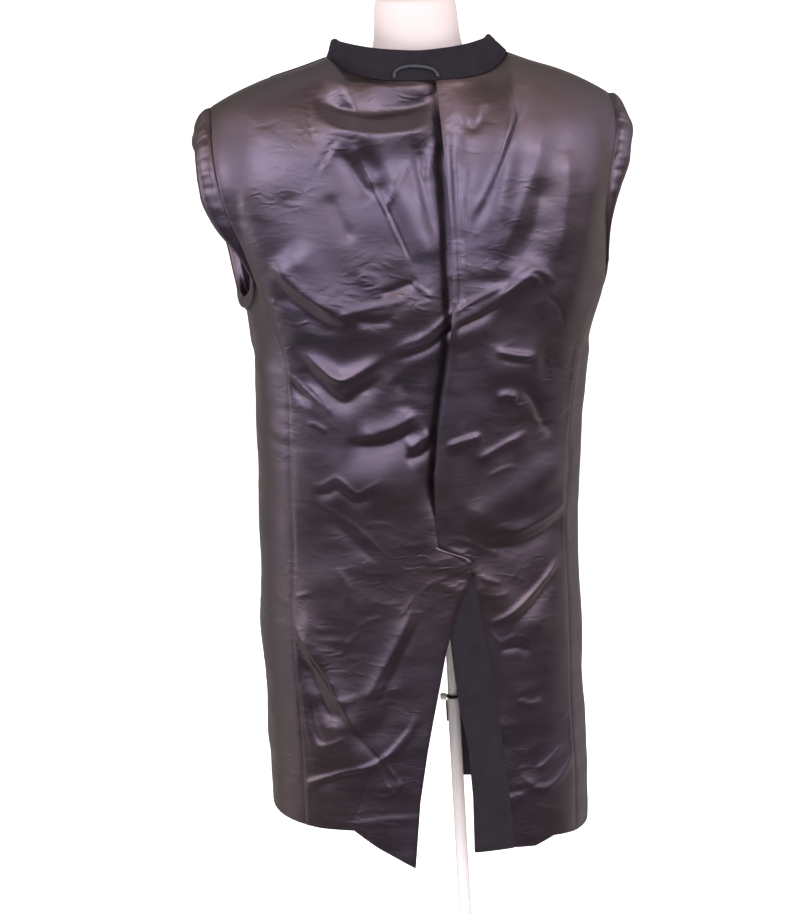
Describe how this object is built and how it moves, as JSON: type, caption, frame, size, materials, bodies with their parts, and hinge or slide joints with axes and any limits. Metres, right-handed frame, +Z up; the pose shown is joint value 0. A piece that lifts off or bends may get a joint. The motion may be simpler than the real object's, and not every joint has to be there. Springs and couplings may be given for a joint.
{
  "type": "overcoat turned inside out on a limbless dress form",
  "caption": "Long wool overcoat worn inside out, satin lining outwards and sleeves hanging inside, on a limbless dress form with a pole and a round base.",
  "frame": {"origin": "centre of the bounding box at the underside of the base plate", "axes": "+Z up along the coat, +Y towards the coat's back, the side named left is +X"},
  "size_m": [0.503, 0.36, 1.51],
  "materials": {
    "lining_satin": "satin lining, violet and brown sheen",
    "wool": "dull napped wool",
    "loop_tape": "woven tape",
    "form_skin": "pale matt",
    "chrome": "polished tube",
    "black_plastic": "moulded black",
    "base_paint": "pale enamel"
  },
  "bodies": {
    "root": {"back_left": "lining_satin", "back_right": "lining_satin", "front_left": "lining_satin", "front_right": "lining_satin", "sleeve_left": "lining_satin", "sleeve_right": "lining_satin", "vent_facing": "wool", "facing_left": "wool", "facing_right": "wool", "lapel_left": "wool", "lapel_right": "wool", "collar": "wool", "hanger_loop": "loop_tape", "form_torso": "form_skin", "pole_upper": "chrome", "pole_lower": "chrome", "base_socket": "chrome", "clamp_knob": "chrome", "clamp_ring": "black_plastic", "clamp_lever": "black_plastic", "base_plate": "base_paint"}
  },
  "joints": []
}
